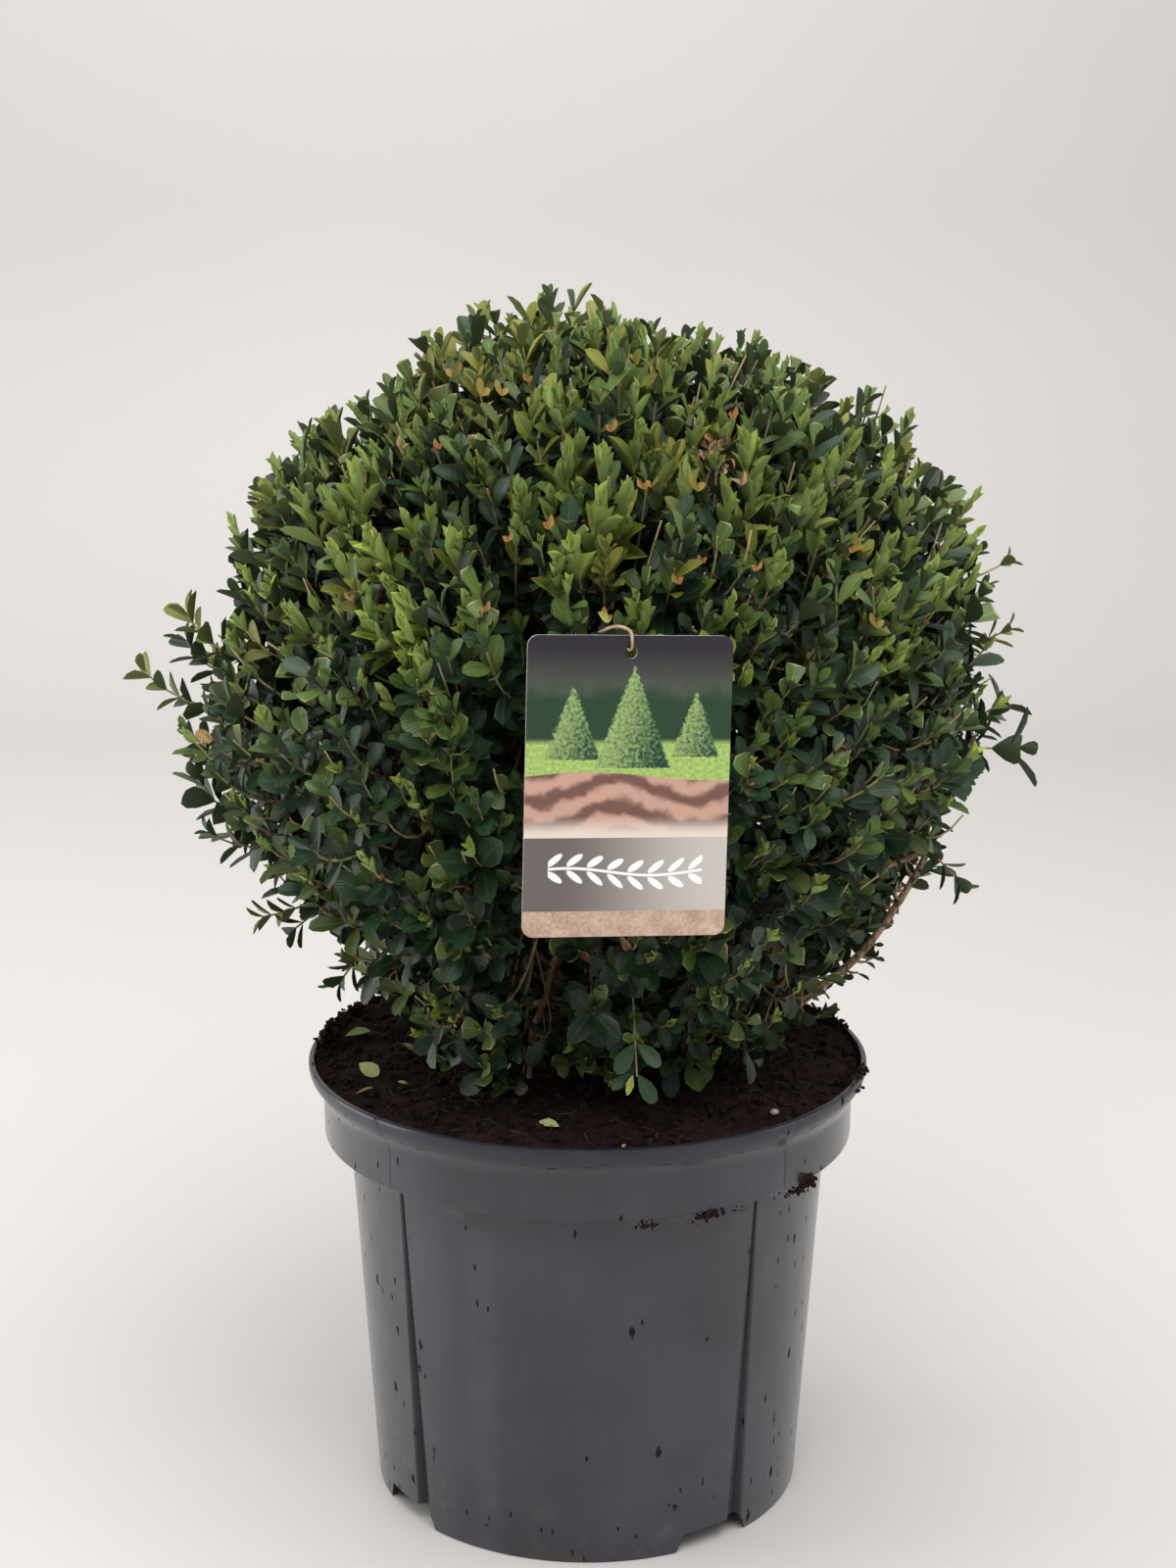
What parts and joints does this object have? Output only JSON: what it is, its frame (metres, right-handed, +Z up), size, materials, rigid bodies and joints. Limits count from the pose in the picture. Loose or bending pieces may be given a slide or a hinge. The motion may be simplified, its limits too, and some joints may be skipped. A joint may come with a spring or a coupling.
{
  "type": "potted box topiary ball",
  "caption": "Round clipped box shrub in a tapered plastic nursery pot filled with potting soil, with a printed tag hung on the front of the foliage.",
  "frame": {"origin": "on the ground under the middle of the pot and plant", "axes": "+Z up, and the side with the tag faces -Y"},
  "size_m": [0.3842, 0.3716, 0.5252],
  "materials": {
    "pot": "semi-gloss moulded plastic, scuffed",
    "soil": "rough moist peat",
    "bark": "rough bark",
    "foliage": "glossy small leaves",
    "tag": "glossy printed plastic card"
  },
  "bodies": {
    "root": {"pot": "pot", "soil": "soil", "main_stem": "bark", "bough_right": "bark", "bough_front": "bark", "bough_left": "bark", "bough_back": "bark", "bough_top": "bark", "foliage_right": "foliage", "foliage_back": "foliage", "foliage_left": "foliage", "foliage_front": "foliage", "foliage_top": "foliage", "tag": "tag"}
  },
  "joints": []
}
